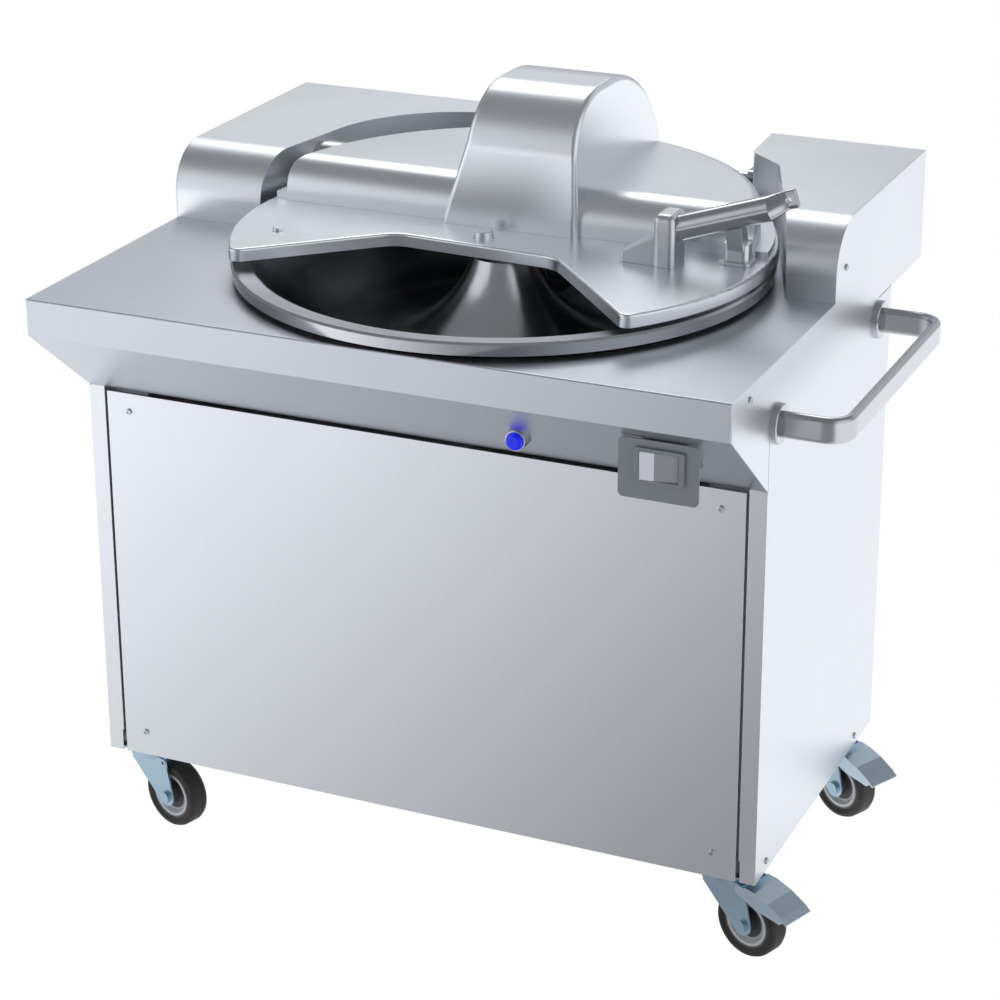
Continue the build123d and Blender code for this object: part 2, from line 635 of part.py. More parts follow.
def lid_plate():
    """Lid plate: a 4 mm top with turned-down edges, hollow beneath."""
    plate = upward(lid_plan(0), LID_BOTTOM_Z, LID_TOP_Z)
    upper = plate.edges().filter_by(lambda edge: abs(edge.center().Z - LID_TOP_Z) < 0.01)
    upper = upper.filter_by(lambda edge: hypot((edge @ 0.5).X, (edge @ 0.5).Y) > LID_RADIUS - 1 or (edge @ 0.5).Y < 0)
    plate = fillet(upper, LID_EDGE)
    plate -= upward(lid_plan(LID_WALL), LID_BOTTOM_Z, LID_TOP_Z - LID_WALL)
    return plate - sleeve_notch()


def cover_block(inset):
    """The raised rear chamber, grown inward by inset: a half drum with a rounded brow."""
    radius = COVER_RADIUS - inset
    top = COVER_TOP_Z - inset
    drum = rod_z(radius, LID_TOP_Z, top)
    drum = fillet(drum.edges().sort_by(Axis.Z)[-1], 14 - inset)
    brow = outline((COVER_FRONT_Y + inset, LID_TOP_Z), (COVER_FRONT_Y + inset, top), (500, top), (500, LID_TOP_Z))
    brow = fillet(brow.vertices().sort_by_distance((COVER_FRONT_Y, COVER_TOP_Z))[0], COVER_FILLET - inset)
    return drum & across(brow, -500, 500)


def lid_cover():
    """Raised chamber over the knives, with the step it is welded on by."""
    cover = cover_block(0) - cover_block(COVER_WALL)
    step = rod_z(COVER_RADIUS + 20, LID_TOP_Z, LID_TOP_Z + 10) - rod_z(COVER_RADIUS, LID_TOP_Z, LID_TOP_Z + 10)
    step &= box(-500, 500, COVER_FRONT_Y + 6, 500, LID_TOP_Z, LID_TOP_Z + 10)
    cover += step
    return cover - knife_hood_block(0) - sleeve_notch()


def knife_hood_block(inset):
    """The knife hood as a block: an upright front, a rounded brow, a long curved back, and
    a left face that leans inward with height."""
    front = HOOD_NOSE_Y + inset
    top = HOOD_CROWN_Z - inset
    nose = HOOD_NOSE_RADIUS - inset
    back = HOOD_BACK_RADIUS - inset
    nose_y = HOOD_NOSE_Y + HOOD_NOSE_RADIUS
    back_z = HOOD_CROWN_Z - HOOD_BACK_RADIUS
    slant = radians(45)
    brow = ThreePointArc(
        (front, top - nose), (nose_y - nose * cos(slant), top - nose + nose * sin(slant)), (nose_y, top))
    fall = ThreePointArc(
        (HOOD_BACK_Y, top), (HOOD_BACK_Y + back * cos(slant), back_z + back * sin(slant)),
        (HOOD_BACK_Y + back, back_z))
    side = make_face(Wire([
        Line((front, back_z), (front, top - nose)), brow, Line((nose_y, top), (HOOD_BACK_Y, top)),
        fall, Line((HOOD_BACK_Y + back, back_z), (front, back_z)),
    ]))
    block = across(side, -98 + inset, 100 - inset)
    block &= box(-200, 200, 0, 400, LID_TOP_Z, 300)
    lean = outline((-150, LID_TOP_Z - 5), (-97 + inset, LID_TOP_Z - 5), (-97 + inset, LID_TOP_Z + 20),
                   (-64 + inset, 170), (-52 + inset, 250), (-150, 250))
    block -= extrude(Plane.XZ.offset(-400) * lean, 500)
    rims = block.edges().filter_by(lambda edge: edge.center().Z > LID_TOP_Z + 12)
    rims = rims.filter_by(lambda edge: min(abs(edge.center().X - 100 + inset), abs(edge.center().X + 60 - inset)) < 30)
    rims = rims.filter_by(lambda edge: edge.length > 15)
    block = fillet(rims, HOOD_EDGE_RADIUS - inset)
    return block & rod_z(COVER_RADIUS - inset, LID_TOP_Z, 300)


def knife_hood():
    """Welded knife hood, open to the chamber below."""
    return knife_hood_block(0) - (knife_hood_block(COVER_WALL) + cover_block(COVER_WALL))


def lid_hinge_arms():
    """Two arms from the rear of the lid to the hinge shaft."""
    arms = []
    for x in ARM_X:
        eye = Pos(HINGE_Y, HINGE_Z) * Circle(KNUCKLE_RADIUS)
        root_y = sqrt(COVER_RADIUS ** 2 - x ** 2)
        foot = Pos(root_y - 4, LID_TOP_Z + 33) * Rectangle(2, 42)
        plate = make_hull(eye.edges() + foot.edges())
        arm = across(plate, x - 7, x + 7) + rod_x(KNUCKLE_RADIUS, x - 20, x + 20, HINGE_Y, HINGE_Z)
        arm -= rod_x(HINGE_RADIUS + RUNNING_CLEARANCE, x - 21, x + 21, HINGE_Y, HINGE_Z)
        arm -= rod_z(COVER_RADIUS, LID_TOP_Z - 5, COVER_TOP_Z + 5)
        arm -= rod_z(COVER_RADIUS + 20, LID_TOP_Z, LID_TOP_Z + 10)
        arm -= rod_z(LID_RADIUS, LID_BOTTOM_Z - 5, LID_TOP_Z)
        arms.append(arm)
    return group(arms)


def lid_hinge_shaft():
    """Fixed hinge shaft between the two hood arms."""
    return rod_x(HINGE_RADIUS, LEFT_ARM_END, RIGHT_ARM_END, HINGE_Y, HINGE_Z)


def lid_hinge_brackets():
    """Bosses on the ends of the hood arms that hold the hinge shaft."""
    brackets = []
    for x0, x1 in ((LEFT_ARM_END, LEFT_ARM_END + 14), (RIGHT_ARM_END - 14, RIGHT_ARM_END)):
        plate = across(Pos(HINGE_Y + 4, HINGE_Z - 8) * RectangleRounded(56, 52, 10), x0, x1)
        brackets.append(plate - rod_x(HINGE_RADIUS, x0 - 1, x1 + 1, HINGE_Y, HINGE_Z))
    return group(brackets)


# ---------------------------------------------------------------- lid handle
def grip_axis():
    """Plane at the inner end of the grip, its normal along the tube."""
    start = Vector(*GRIP_START)
    along = Vector(*GRIP_END) - start
    return Plane(origin=start, x_dir=(0, 1, 0), z_dir=along), along.length


def lid_handle_tube():
    """Tube grip whose outer end is flattened to a rounded lug with a hole."""
    plane, length = grip_axis()
    tube = extrude(plane * Circle(GRIP_RADIUS), length)
    near = plane.offset(length) * Circle(GRIP_RADIUS)
    far = plane.offset(length + 26) * (Pos(0, 6) * RectangleRounded(12, 26, 5.5))
    lug = loft([near.face(), far.face()])
    tip_place = plane.offset(length + 26)
    tip = extrude(tip_place * (Pos(0, 6) * RectangleRounded(12, 26, 5.5)), 12)
    hole = tip_place * Pos(0, 6, 2) * Rot(0, 90, 0) * Cylinder(4.2, 40)
    return tube + lug + tip - hole


def lid_handle_socket():
    """Cast clamp block: a wedge foot with a screw, and a collar round the tube."""
    wedge = outline((190, LID_TOP_Z), (190, LID_TOP_Z + 12), (242, LID_TOP_Z + 42), (242, LID_TOP_Z))
    foot = extrude(Plane.XZ.offset(8) * wedge, 44)
    foot = fillet(foot.edges().filter_by(Axis.Z), 5)
    collar = box(COLLAR_X[0], COLLAR_X[1], -56, -6, LID_TOP_Z, 122)
    collar = fillet(collar.edges().filter_by(Axis.Z), 8)
    collar = fillet(collar.edges().filter_by(Axis.Y).sort_by(Axis.Z)[-2:], 9)
    plane, length = grip_axis()
    bore = extrude(plane.offset(-12) * Circle(GRIP_RADIUS + 0.2), length)
    block = foot + collar - bore
    return block


def lid_handle_stand():
    """Small post that props the outer half of the grip, with a rounded foot."""
    foot = box(314, 358, -12, 22, LID_TOP_Z, LID_TOP_Z + 5)
    foot = fillet(foot.edges().filter_by(Axis.Z), 8)
    plane, length = grip_axis()
    post = extrude(Plane.XY.offset(LID_TOP_Z + 5) * Pos(336, 5) * RectangleRounded(36, 24, 8), 24)
    neck = outline((-7, LID_TOP_Z + 20), (17, LID_TOP_Z + 20), (-8, 128), (-24, 118))
    arm = across(neck, 326, 348)
    stand = foot + post + arm
    return stand - extrude(plane.offset(-12) * Circle(GRIP_RADIUS + 0.2), length + 30)


def lid_plugs():
    """The two plugs in the lid plate: a small stud and a larger flat disc."""
    small = rod_z(7.5, LID_TOP_Z, LID_TOP_Z + 5, -293, -105)
    small = fillet(small.edges().sort_by(Axis.Z)[-1], 1.5)
    large = rod_z(14, LID_TOP_Z, LID_TOP_Z + 3, -22, -18) + rod_z(13, LID_TOP_Z + 3, LID_TOP_Z + 8, -22, -18)
    large = fillet(large.edges().sort_by(Axis.Z)[-1], 2)
    return group([small, large])


# ---------------------------------------------------------------- switch and button
def switch_cutout():
    """The switch housing's block, also the hole for it in the fascia."""
    half_x = HOUSING_WIDTH / 2
    half_z = HOUSING_HEIGHT / 2
    y = SWITCH_Y + SWITCH_PLATE
    return box(ROCKER_X - half_x, ROCKER_X + half_x, y, y + HOUSING_DEPTH, ROCKER_Z - half_z, ROCKER_Z + half_z)


def switch_plate():
    """Upright switch plate with a raised frame, on a narrow housing through the fascia."""
    middle = SWITCH_TOP_Z - SWITCH_HEIGHT / 2
    front = Plane.XZ.offset(-SWITCH_Y)
    plate = extrude(front * Pos(SWITCH_X, middle) * RectangleRounded(SWITCH_WIDTH, SWITCH_HEIGHT, 7), -SWITCH_PLATE)
    frame = extrude(front * Pos(ROCKER_X, ROCKER_Z) * RectangleRounded(67, 46, 3), 4)
    body = plate + frame + switch_cutout()
    half_x = ROCKER_WIDTH / 2 + BODY_GAP
    half_z = ROCKER_HEIGHT / 2 + BODY_GAP
    return body - box(ROCKER_X - half_x, ROCKER_X + half_x, SWITCH_Y - 6, SWITCH_Y + 14,
                      ROCKER_Z - half_z, ROCKER_Z + half_z)


def rocker():
    """Rocker whose two halves meet at a shallow ridge, turning about an upright pin."""
    half = ROCKER_WIDTH / 2 - 1.0
    y = SWITCH_Y
    ridge = -6.0
    section = outline(
        (-half, y - 6), (ridge, y - 4.5), (half, y - 1), (half - 1, y + 5), (ridge, y + 8), (-half + 1, y + 5))
    z0 = ROCKER_Z - ROCKER_HEIGHT / 2
    return Pos(ROCKER_X, 0, 0) * upward(section, z0, z0 + ROCKER_HEIGHT)


def button_bezel():
    """Metal barrel that runs level through the fascia, with a rounded front ring."""
    barrel = rod_y(BUTTON_RING_RADIUS, BUTTON_Y, BUTTON_Y + BUTTON_RING_DEPTH, BUTTON_X, BUTTON_Z)
    barrel = fillet(barrel.edges().sort_by(Axis.Y)[0], 1)
    bore_end = BUTTON_Y + BUTTON_CAP_DEPTH
    return barrel - rod_y(BUTTON_CAP_RADIUS + BODY_GAP, BUTTON_Y - 1, bore_end, BUTTON_X, BUTTON_Z)


def button_cap():
    """Blue push button with a domed face."""
    front = BUTTON_Y - BUTTON_PROUD
    cap = rod_y(BUTTON_CAP_RADIUS, front, front + BUTTON_CAP_DEPTH, BUTTON_X, BUTTON_Z)
    return fillet(cap.edges().sort_by(Axis.Y)[0], 5)


# ---------------------------------------------------------------- push handle
def handle_path():
    """Centre line of the push handle."""
    y0, y1 = HANDLE_Y
    line = Polyline((RIGHT + FLANGE_THICK, y0, HANDLE_Z), (RIGHT + HANDLE_REACH, y0, HANDLE_Z),
                    (RIGHT + HANDLE_REACH, y1, HANDLE_Z), (RIGHT + FLANGE_THICK, y1, HANDLE_Z))
    wire = Wire(line.edges())
    bends = [v for v in wire.vertices() if abs(v.X - RIGHT - HANDLE_REACH) < 0.01]
    return wire.fillet_2d(HANDLE_CORNER, bends)


def push_handle():
    """Flat-oval tube bent into a loop."""
    section = Plane.YZ.offset(RIGHT + FLANGE_THICK) * Pos(HANDLE_Y[0], HANDLE_Z) * SlotOverall(
        HANDLE_TALL, HANDLE_THICK, rotation=90)
    return sweep(section, path=handle_path())


def handle_flanges():
    """Round flanges between the handle and the side panel."""
    flanges = []
    for y in HANDLE_Y:
        disc = rod_x(FLANGE_RADIUS, RIGHT, RIGHT + FLANGE_THICK, y, HANDLE_Z)
        flanges.append(fillet(disc.edges().sort_by(Axis.X)[-1], 2.5))
    return group(flanges)


# ---------------------------------------------------------------- electrics
def electrical_box():
    """Control cabinet on the tray behind the front panel."""
    case = box(120, 400, FRONT_Y + 60, FRONT_Y + 190, TRAY_Z + 3, TRAY_Z + 300)
    case = fillet(case.edges().filter_by(Axis.Z), 6)
    lid_line = box(119, 401, FRONT_Y + 72, FRONT_Y + 74, TRAY_Z + 3, TRAY_Z + 300)
    return case - (lid_line - box(123, 397, FRONT_Y + 60, FRONT_Y + 80, TRAY_Z + 6, TRAY_Z + 297))


def cable_gland():
    """Cable gland in the rear panel with an open bore."""
    body = rod_y(GLAND_BORE_RADIUS + 3, REAR_Y - 12, REAR_Y + SHEET + 4, GLAND_X, GLAND_Z)
    hexagon = Pos(GLAND_X, REAR_Y + SHEET, GLAND_Z) * Rot(-90, 0, 0) * extrude(RegularPolygon(17, 6), 6)
    dome = rod_y(GLAND_BORE_RADIUS + 4, REAR_Y + SHEET + 6, REAR_Y + SHEET + 18, GLAND_X, GLAND_Z)
    dome = fillet(dome.edges().sort_by(Axis.Y)[-1], 3)
    return body + hexagon + dome - rod_y(GLAND_BORE_RADIUS, REAR_Y - 20, REAR_Y + 40, GLAND_X, GLAND_Z)


# ---------------------------------------------------------------- castors
def castor_frame(name):
    """Placement of a castor: swivel axis upright, trail along its own +X."""
    x, y, heading, _brake = CASTORS[name]
    return Pos(x, y, FLOOR_Z) * Rot(0, 0, heading)


def castor_plates():
    """The four fixed top plates with their upper ball races."""
    plates = []
    for x, y, _heading, _brake in CASTORS.values():
        plate = extrude(RectangleRounded(95, 84, 8), 3)
        for dx, dy in BOLT_OFFSETS:
            plate -= Pos(dx, dy, 1.5) * Cylinder(BOLT_RADIUS, 4)
        race = Pos(0, 0, -4) * Cylinder(29, 8)
        stud = Pos(0, 0, -11) * Cylinder(6, 8)
        plates.append(Pos(x, y, TRAY_Z - 3) * (plate + race + stud))
    return group(plates)


def castor_bolts():
    """Bolts through the castor plates into the tray."""
    bolts = []
    for x, y, _heading, _brake in CASTORS.values():
        for dx, dy in BOLT_OFFSETS:
            head = Pos(x + dx, y + dy, TRAY_Z - 3 - 2.6) * extrude(RegularPolygon(7, 6), 2.6)
            shank = rod_z(BOLT_RADIUS, TRAY_Z - 3, TRAY_Z + 3, x + dx, y + dy)
            bolts.append(head + shank)
    return group(bolts)


def castor_fork(name):
    """Pressed fork: swivel head, two tapering legs, and the axle bolt through them."""
    top = CASTOR_HEIGHT - 11.3
    head = Pos(0, 0, top - 5) * Cylinder(30, 10)
    head = fillet(head.edges().sort_by(Axis.Z)[-1], 3)
    crown = Pos(-4, 0, top - 9) * extrude(RectangleRounded(58, 45, 8), 3)
    head -= Pos(0, 0, top) * Cylinder(6.3, 30)
    crown -= Pos(0, 0, top) * Cylinder(6.3, 40)
    eye = Pos(CASTOR_TRAIL, WHEEL_RADIUS) * Circle(15)
    shoulder = outline((-36, top - 5), (36, top - 5), (37, top - 24), (-31, top - 22))
    ear = Pos(*PEDAL_PIVOT) * Circle(6)
    leg = make_hull(eye.edges() + shoulder.edges() + ear.edges())
    fork = head + crown
    for y in (19.5, -22.5):
        fork += Pos(0, y, 0) * extrude(Plane.XZ * leg, -3)
    bolt = Pos(CASTOR_TRAIL, 0, WHEEL_RADIUS) * Rot(90, 0, 0) * Cylinder(AXLE_RADIUS, 54)
    fork -= bolt
    fork -= Pos(PEDAL_PIVOT[0], 0, PEDAL_PIVOT[1]) * Rot(90, 0, 0) * Cylinder(PIVOT_RADIUS + RUNNING_CLEARANCE, 60)
    nut_near = Pos(CASTOR_TRAIL, -22.5, WHEEL_RADIUS) * Rot(90, 0, 0) * extrude(Circle(9), 5)
    nut_far = Pos(CASTOR_TRAIL, 22.5, WHEEL_RADIUS) * Rot(-90, 0, 0) * extrude(RegularPolygon(9, 6), 6)
    place = castor_frame(name)
    return group([place * fork, place * (bolt + nut_near + nut_far)])


def castor_wheel(name):
    """Wheel core: hub, web and rim."""
    section = outline(
        (AXLE_RADIUS + RUNNING_CLEARANCE, -18), (12, -18), (14, -9), (26, -7), (30, -13), (37, -13),
        (37, 13), (30, 13), (26, 7), (14, 9), (12, 18), (AXLE_RADIUS + RUNNING_CLEARANCE, 18),
    )
    core = revolve(Plane.YZ * section, Axis.Z)
    return castor_frame(name) * Pos(CASTOR_TRAIL, 0, WHEEL_RADIUS) * Rot(90, 0, 0) * core


def castor_tyre(name):
    """Rubber tyre with a rounded tread."""
    half = WHEEL_WIDTH / 2
    section = outline(
        (37, -13), (44, -half), (WHEEL_RADIUS - 2, 1.5 - half), (WHEEL_RADIUS, 6 - half),
        (WHEEL_RADIUS, half - 6), (WHEEL_RADIUS - 2, half - 1.5), (44, half), (37, 13),
    )
    tyre = revolve(Plane.YZ * section, Axis.Z)
    return castor_frame(name) * Pos(CASTOR_TRAIL, 0, WHEEL_RADIUS) * Rot(90, 0, 0) * tyre


def castor_pedal(name):
    """Brake pedal: a folded plate over the wheel, its cheeks pinned across the fork."""
    tread = outline(
        (43, 112), (60, 110.5), (84, 103), (108, 91), (117, 84), (115, 81.5), (106, 88), (82, 100), (59, 107.5), (43, 109),
    )
    plate = Pos(0, 26, 0) * extrude(Plane.XZ * tread, 52)
    ear = Pos(*PEDAL_PIVOT) * Circle(7)
    skirt = outline((43, 110), (60, 109), (83, 101.5), (112, 85.5), (104, 80), (62, 86))
    cheek = make_hull(ear.edges() + skirt.edges())
    tread_top = outline((42, 130), (43, 112), (60, 110.5), (84, 103), (108, 91), (117, 84), (140, 130))
    cheek -= tread_top
    body = plate
    for y in (26.0, -22.5 - BODY_GAP):
        body += Pos(0, y, 0) * extrude(Plane.XZ * cheek, 26.0 - 22.5 - BODY_GAP)
    body += Pos(PEDAL_PIVOT[0], 0, PEDAL_PIVOT[1]) * Rot(90, 0, 0) * Cylinder(PIVOT_RADIUS, 52)
    return castor_frame(name) * body


# ---------------------------------------------------------------- assembly
nodes["side_panel_right"] = side_panel()
nodes["side_panel_left"] = mirrored(nodes["side_panel_right"])
nodes["worktop"] = worktop()
nodes["front_panel"] = front_panel()
nodes["rear_panel"] = rear_panel()
nodes["panel_screws"] = panel_screws()
nodes["base_tray"] = base_tray()
nodes["hood_left"] = hood(left_hood_plan(), LEFT) - rod_x(SLEEVE_RADIUS, -420, -340, KNIFE_Y, KNIFE_Z)
nodes["hood_right"] = hood(right_hood_plan(), RIGHT)
nodes["bowl"] = bowl()
nodes["bowl_nut"] = bowl_nut()
nodes["bowl_spindle"] = bowl_spindle()
nodes["bowl_bearing_housing"] = bowl_bearing_housing()
nodes["bowl_carrier"] = bowl_carrier()
nodes["bowl_gearmotor"] = bowl_gearmotor()
nodes["knife_shaft"] = knife_shaft()
nodes["knife_sleeve"] = knife_sleeve()
nodes["knife_bearings"] = knife_bearings()
nodes["knife_pulley"] = knife_pulley()
nodes["knives"] = knives()
nodes["knife_spacers"] = knife_spacers()
nodes["knife_nut"] = knife_nut()
nodes["main_motor"] = main_motor()
nodes["motor_pulley"] = motor_pulley()
nodes["drive_belt"] = drive_belt()
nodes["lid_plate"] = lid_plate()
nodes["lid_cover"] = lid_cover()
nodes["knife_hood"] = knife_hood()
nodes["lid_hinge_arms"] = lid_hinge_arms()
nodes["lid_hinge_shaft"] = lid_hinge_shaft()
nodes["lid_hinge_brackets"] = lid_hinge_brackets()
nodes["lid_handle_tube"] = lid_handle_tube()
nodes["lid_handle_socket"] = lid_handle_socket()
nodes["lid_handle_stand"] = lid_handle_stand()
nodes["lid_plugs"] = lid_plugs()
nodes["switch_plate"] = switch_plate()
nodes["rocker"] = rocker()
nodes["button_bezel"] = button_bezel()
nodes["button_cap"] = button_cap()
nodes["push_handle"] = push_handle()
nodes["handle_flanges"] = handle_flanges()
nodes["electrical_box"] = electrical_box()
nodes["cable_gland"] = cable_gland()
nodes["castor_plates"] = castor_plates()
nodes["castor_bolts"] = castor_bolts()
for name, (_x, _y, _heading, brake) in CASTORS.items():
    nodes[f"castor_{name}_fork"] = castor_fork(name)
    nodes[f"castor_{name}_wheel"] = castor_wheel(name)
    nodes[f"castor_{name}_tyre"] = castor_tyre(name)
    if brake:
        nodes[f"castor_{name}_pedal"] = castor_pedal(name)

overall_left = LEFT - SCREW_HEAD_HEIGHT
overall_right = RIGHT + HANDLE_REACH + HANDLE_THICK / 2
overall_front = -RIM_RADIUS
to_origin = Pos(
    -(overall_left + overall_right) / 2, -(overall_front + HOOD_REAR_Y) / 2, WORKTOP_HEIGHT)
os.makedirs("parts", exist_ok=True)
for name, shape in nodes.items():
    export_step(to_origin * shape, f"parts/{name}.step")
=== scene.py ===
import math

import bpy
from mathutils import Matrix, Vector


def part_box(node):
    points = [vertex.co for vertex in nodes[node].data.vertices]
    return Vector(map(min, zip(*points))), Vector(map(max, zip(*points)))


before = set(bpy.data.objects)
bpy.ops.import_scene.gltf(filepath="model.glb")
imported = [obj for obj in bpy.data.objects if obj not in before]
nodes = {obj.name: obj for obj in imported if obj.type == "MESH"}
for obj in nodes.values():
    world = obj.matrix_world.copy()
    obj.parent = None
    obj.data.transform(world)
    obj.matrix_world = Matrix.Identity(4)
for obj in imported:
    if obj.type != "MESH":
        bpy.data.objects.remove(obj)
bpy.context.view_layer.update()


# ---------------------------------------------------------------- tray and beam
# The floor tray and the beam under the bowl's spindle are folded from stainless sheet and
# stay hidden in the cabinet, so their grind is coarser and duller than the outer sheets'.
NOISE_LOW, NOISE_HIGH = 0.3, 0.7  # nearly all of the noise's values lie between these
PATCHES_PER_METRE = 5.0           # soft uneven areas about 200 mm across
GRIND_RELIEF = 0.0004             # metres, deeper than a real grind so that it shows
GRIND_TINT = 0.06
EDGE_SAMPLES = 4


def linear(hex_colour):
    """Turn an sRGB hex colour to linear light."""
    values = []
    for start in (1, 3, 5):
        channel = int(hex_colour[start:start + 2], 16) / 255
        values.append(channel / 12.92 if channel <= 0.04045 else ((channel + 0.055) / 1.055) ** 2.4)
    return (*values, 1.0)


def feed(tree, node, settings=None, links=None):
    """Set a node's inputs to values, and link others to the (node, output) that feeds them."""
    for entry, value in (settings or {}).items():
        node.inputs[entry].default_value = value
    for entry, (source, outlet) in (links or {}).items():
        tree.links.new(source.outputs[outlet], node.inputs[entry])
    return node


def add(tree, kind, settings=None, links=None, **options):
    """Add a node with its own options, its settings and its links."""
    node = tree.nodes.new(kind)
    for option, value in options.items():
        setattr(node, option, value)
    return feed(tree, node, settings, links)


def new_material(name, metallic):
    """Start a material; return it, its node tree and its shader."""
    mat = bpy.data.materials.new(name)
    mat.use_nodes = True
    shader = mat.node_tree.nodes["Principled BSDF"]
    shader.inputs["Metallic"].default_value = metallic
    return mat, mat.node_tree, shader


def add_relief(tree, shader, noise, depth, height, edge=None):
    """Tilt the surface with the noise, and round its folds and cut edges by the edge radius."""
    bump = add(tree, "ShaderNodeBump", {"Strength": depth, "Distance": height},
               {"Height": (noise, "Fac")})
    if edge:
        rounding = add(tree, "ShaderNodeBevel", {"Radius": edge}, samples=EDGE_SAMPLES)
        feed(tree, bump, links={"Normal": (rounding, "Normal")})
    feed(tree, shader, links={"Normal": (bump, "Normal")})


def steel(name, hex_colour, rough, grain, depth, edge=0.0009, uneven=0.05, spread=0.02):
    """Ground steel: noise stretched along the grind moves the roughness and tilts the
    surface, and broad patches keep large sheets from looking uniform. The grain gives the
    noise's cells per metre along X, Y and Z: 900 is a scratch about 1 mm wide, coarser than
    a real grind so that it shows, and 14 one about 70 mm long."""
    mat, tree, shader = new_material(name, 1.0)
    place = add(tree, "ShaderNodeTexCoord")
    stretch = add(tree, "ShaderNodeMapping", {"Scale": grain}, {"Vector": (place, "Object")})
    lines = add(tree, "ShaderNodeTexNoise", {"Scale": 1.0, "Detail": 3.0},
                {"Vector": (stretch, "Vector")})
    patches = add(tree, "ShaderNodeTexNoise", {"Scale": PATCHES_PER_METRE, "Detail": 2.0},
                  {"Vector": (place, "Object")})
    fine = add(tree, "ShaderNodeMapRange",
               {"From Min": NOISE_LOW, "From Max": NOISE_HIGH,
                "To Min": rough - spread, "To Max": rough + spread},
               {"Value": (lines, "Fac")})
    broad = add(tree, "ShaderNodeMath", {1: uneven},
                {0: (patches, "Fac"), 2: (fine, "Result")}, operation="MULTIPLY_ADD")
    tone = add(tree, "ShaderNodeMixRGB", {"Fac": GRIND_TINT, "Color1": linear(hex_colour)},
               {"Color2": (lines, "Fac")}, blend_type="MULTIPLY")
    feed(tree, shader, links={"Roughness": (broad, "Value"), "Base Color": (tone, "Color")})
    add_relief(tree, shader, lines, depth, GRIND_RELIEF, edge)
    return mat


def dress(mat, *names):
    """Give CAD nodes a material."""
    for name in names:
        data = nodes[name].data
        data.materials.clear()
        data.materials.append(mat)


inner_steel = steel("inner_steel", "#BFC2C6", 0.40, grain=(9, 300, 300), depth=0.05)
dress(inner_steel, "base_tray", "bowl_carrier")


# ---------------------------------------------------------------- castors
# Forks and plates are pressed and bright zinc plated, with a cold blue cast, and bolted to
# the tray. The wheels are a grey moulded core under a near-black rubber tread. The two brake
# pedals are of the same zinc, painted paler: painted light for the light on their rounded tops.
WHEEL_CORE_RADIUS = 0.040
# The dark dish and the darker seat by the tread are painted shade; the hub and the ring are the core's own
# greys.
CORE_TONES_AND_PAINTED_SHADE = [
    (0.30, "#B9BDC2"), (0.36, "#3A3A3C"), (0.58, "#3A3A3C"),
    (0.64, "#C9CCD0"), (0.88, "#D2D5D8"), (0.93, "#55504E"),
]
COAT_TINT = 0.12
COAT_SPREAD = 0.06
COAT_RELIEF = 0.0004
COAT_EDGE = 0.0006


def coat(name, hex_colour, rough, metallic=0.0, grain=300, depth=0.1):
    """Paint, plastic or rubber: an even noise of so many cells per metre, for a fine orange
    peel or moulded grain about 3 mm across or less, moves tone, roughness and tilt."""
    mat, tree, shader = new_material(name, metallic)
    place = add(tree, "ShaderNodeTexCoord")
    noise = add(tree, "ShaderNodeTexNoise", {"Scale": grain, "Detail": 4.0},
                {"Vector": (place, "Object")})
    tone = add(tree, "ShaderNodeMixRGB", {"Fac": COAT_TINT, "Color1": linear(hex_colour)},
               {"Color2": (noise, "Fac")}, blend_type="MULTIPLY")
    spread = add(tree, "ShaderNodeMapRange",
                 {"To Min": rough - COAT_SPREAD, "To Max": rough + COAT_SPREAD},
                 {"Value": (noise, "Fac")})
    feed(tree, shader, links={"Base Color": (tone, "Color"), "Roughness": (spread, "Result")})
    add_relief(tree, shader, noise, depth, COAT_RELIEF, COAT_EDGE)
    return mat


def wheel_core(corner):
    """Grey plastic in rings by the distance from the wheel's middle: a pale hub, a dark dish that
    is painted shade in its recess, a pale ring, and a darker seat that is painted shade under the tread. The
    bands are shares of the radius."""
    mat = coat(f"wheel_core_{corner}", "#9A9EA3", 0.42, grain=700, depth=0.05)
    tree = mat.node_tree
    low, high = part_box(f"castor_{corner}_wheel")
    middle = [(a + b) / 2 for a, b in zip(low, high)]
    place = add(tree, "ShaderNodeTexCoord")
    reach = add(tree, "ShaderNodeVectorMath", {1: middle}, {0: (place, "Object")},
                operation="DISTANCE")
    share = add(tree, "ShaderNodeMath", {1: 1 / WHEEL_CORE_RADIUS}, {0: (reach, "Value")},
                operation="MULTIPLY")
    rings = add(tree, "ShaderNodeValToRGB", links={"Fac": (share, "Value")})
    bands = rings.color_ramp.elements
    for number, (position, colour) in enumerate(CORE_TONES_AND_PAINTED_SHADE):
        band = bands[number] if number < 2 else bands.new(position)
        band.position = position
        band.color = linear(colour)
    feed(tree, tree.nodes["Principled BSDF"], links={"Base Color": (rings, "Color")})
    return mat


zinc_look = {"rough": 0.24, "grain": (90, 90, 90), "depth": 0.06, "edge": 0.0012, "uneven": 0.12}
zinc = steel("zinc_plate", "#AFC7D6", **zinc_look)
# The pedals' paler copy of the zinc is painted light, standing for the light on their rounded tops.
pedal_zinc_painted_light = steel("pedal_zinc_painted_light", "#CBDDE8", **zinc_look)
tread = coat("tyre_rubber", "#2A2422", 0.55, grain=900, depth=0.2)
dress(zinc, "castor_plates")
for corner in ("front_left", "front_right", "rear_left", "rear_right"):
    dress(zinc, f"castor_{corner}_fork")
    dress(tread, f"castor_{corner}_tyre")
    dress(wheel_core(corner), f"castor_{corner}_wheel")
dress(pedal_zinc_painted_light, "castor_front_right_pedal", "castor_rear_right_pedal")


